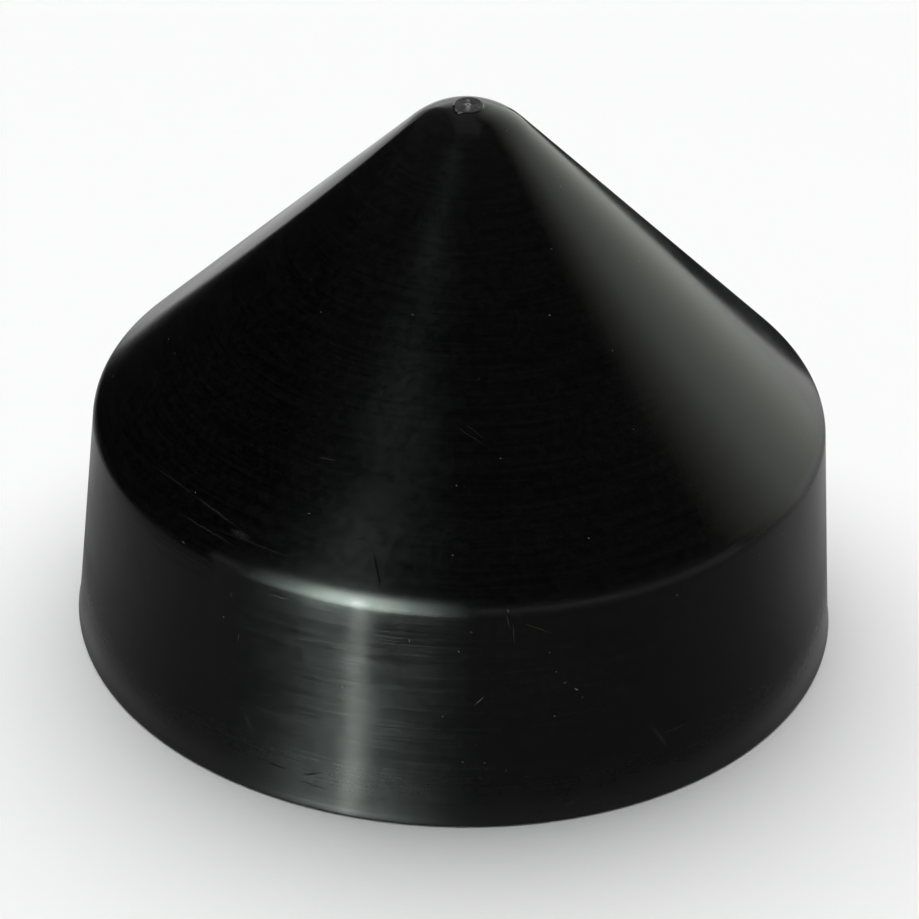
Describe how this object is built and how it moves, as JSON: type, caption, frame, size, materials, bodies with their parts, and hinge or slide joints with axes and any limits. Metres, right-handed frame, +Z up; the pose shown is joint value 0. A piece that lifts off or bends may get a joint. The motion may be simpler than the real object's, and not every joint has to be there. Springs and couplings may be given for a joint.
{
  "type": "conical pile cap",
  "caption": "Conical moulded cap that slips over the round top of a dock pile and sheds water, with a tapered open skirt and a rounded tip.",
  "frame": {"origin": "centre of the open mouth, on the plane of the rim that the cap stands on", "axes": "+Z up along the cone's axis, towards the tip; -Y is the side where the filling stub is cut lowest"},
  "size_m": [0.2745, 0.2744, 0.2017],
  "materials": {
    "black_polyethylene": "satin"
  },
  "bodies": {
    "root": {"pile_cap": "black_polyethylene"}
  },
  "joints": []
}
